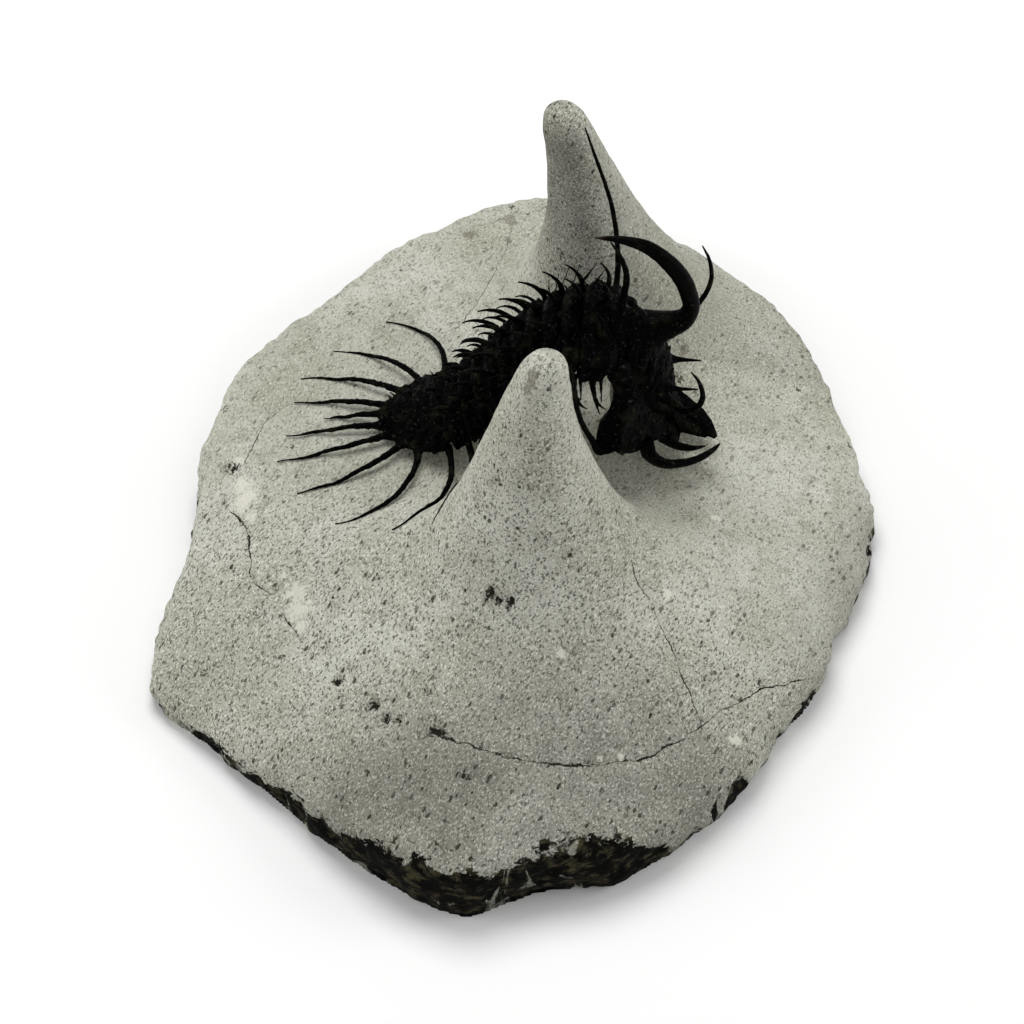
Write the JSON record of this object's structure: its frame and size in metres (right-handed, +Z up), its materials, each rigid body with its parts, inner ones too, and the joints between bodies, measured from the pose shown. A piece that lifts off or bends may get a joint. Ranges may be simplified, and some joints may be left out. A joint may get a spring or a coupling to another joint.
{
  "type": "fossil trilobite on matrix",
  "caption": "Spiny black trilobite fossil, freed from the stone and arched between two cone-shaped pillars on a domed limestone block with a flat base.",
  "frame": {"origin": "middle of the bounding box in plan, on the flat underside of the stone", "axes": "+Z up out of the stone, +Y along the stone's length from the near pillar to the rear one, +X towards the trilobite's head"},
  "size_m": [0.106, 0.127, 0.0579],
  "materials": {
    "stone": "matt, air-abraded limestone",
    "fossil": "black calcite, satin with fine granules"
  },
  "bodies": {
    "root": {"cephalon": "fossil", "thorax_segment_01": "fossil", "thorax_segment_02": "fossil", "thorax_segment_03": "fossil", "thorax_segment_04": "fossil", "thorax_segment_05": "fossil", "thorax_segment_06": "fossil", "thorax_segment_07": "fossil", "thorax_segment_08": "fossil", "thorax_segment_09": "fossil", "thorax_segment_10": "fossil", "thorax_segment_11": "fossil", "pygidium": "fossil", "matrix": "stone"}
  },
  "joints": []
}
